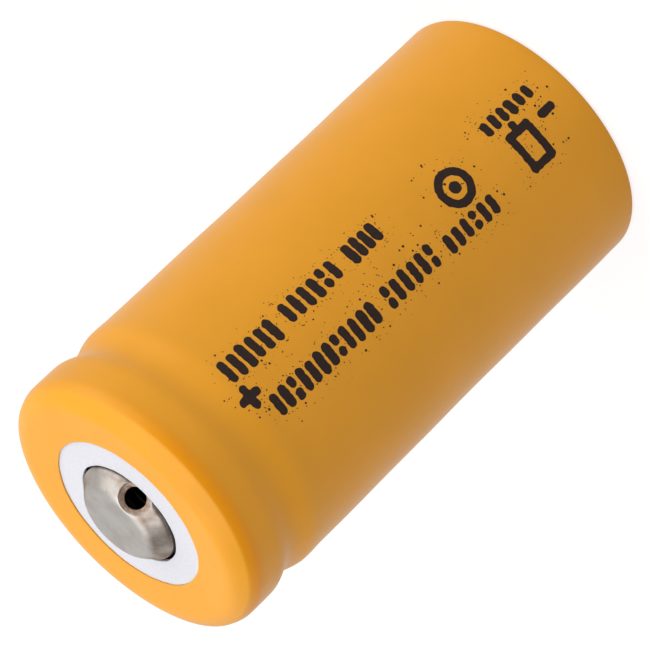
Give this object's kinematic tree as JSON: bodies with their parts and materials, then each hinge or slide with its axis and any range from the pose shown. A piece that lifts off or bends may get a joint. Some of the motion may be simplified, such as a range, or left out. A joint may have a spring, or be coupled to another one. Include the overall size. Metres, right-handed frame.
{
  "type": "cylindrical battery cell",
  "caption": "Small cylindrical rechargeable cell: crimped steel can with a wound electrode roll, vented button at the positive end, white insulating ring and orange shrink sleeve.",
  "frame": {"origin": "centre of the flat negative contact face, which the cell stands on", "axes": "+Z along the cell's axis towards the positive button; -Y towards the side that carries the printed marks"},
  "size_m": [0.0166, 0.0166, 0.0342],
  "materials": {
    "sleeve_film": "satin heat-shrunk PVC film",
    "white_fibre": "matt fibre board",
    "plated_steel": "satin nickel plating",
    "gasket_plastic": "moulded",
    "ptc_polymer": "matt",
    "aluminium_sheet": "rolled",
    "nickel_strip": "rolled",
    "pale_plastic": "matt",
    "copper_foil": "rolled",
    "graphite": "matt powder coat",
    "cathode_powder": "matt powder coat",
    "separator_film": "satin film",
    "amber_tape": "glossy film",
    "blue_tape": "glossy film",
    "print_ink": "matt ink-jet print"
  },
  "bodies": {
    "root": {"outer_sleeve": "sleeve_film", "insulator_ring": "white_fibre", "top_cap": "plated_steel", "steel_can": "plated_steel", "crimp_gasket": "gasket_plastic", "ptc_ring": "ptc_polymer", "vent_disc": "aluminium_sheet", "cid_insulator_ring": "pale_plastic", "cid_plate": "aluminium_sheet", "upper_insulator_disc": "pale_plastic", "lower_insulator_disc": "pale_plastic", "positive_tab": "aluminium_sheet", "negative_tab": "nickel_strip", "positive_tab_tape": "amber_tape", "negative_tab_tape": "amber_tape", "cathode_foil": "aluminium_sheet", "cathode_coating_inner": "cathode_powder", "cathode_coating_outer": "cathode_powder", "anode_foil": "copper_foil", "anode_coating_inner": "graphite", "anode_coating_outer": "graphite", "separator_inner": "separator_film", "separator_outer": "separator_film", "winding_tape": "blue_tape"}
  },
  "joints": []
}
